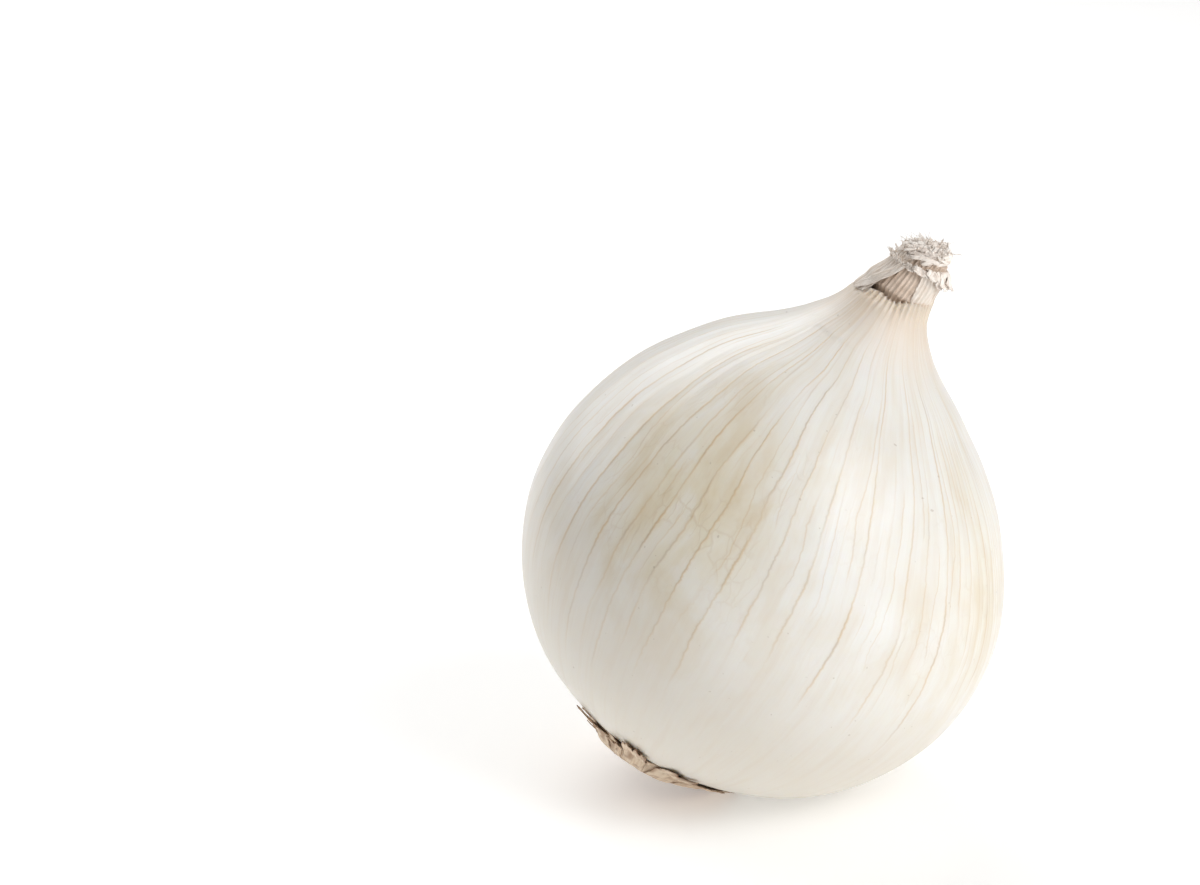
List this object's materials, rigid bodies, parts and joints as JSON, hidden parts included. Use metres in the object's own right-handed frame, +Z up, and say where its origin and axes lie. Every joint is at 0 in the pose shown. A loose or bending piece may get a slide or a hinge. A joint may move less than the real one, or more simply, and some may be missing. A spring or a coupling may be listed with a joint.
{
  "type": "white onion",
  "caption": "Whole white onion with a smooth papery skin, a dry frayed neck and a trimmed root plate, lying on its lower flank.",
  "frame": {"origin": "on the small flat spot that the onion rests on, straight under the middle of the bulb", "axes": "+Z up; the onion's own axis runs from its roots to its neck and leans from +Z by 28 degrees towards +X; -Y is the side that the picture shows"},
  "size_m": [0.0809, 0.0817, 0.0947],
  "materials": {
    "white_skin": "satin",
    "dry_skin": "matte",
    "root_brown": "matte"
  },
  "bodies": {
    "root": {"bulb": "white_skin", "neck": "dry_skin", "root_plate": "root_brown"}
  },
  "joints": []
}
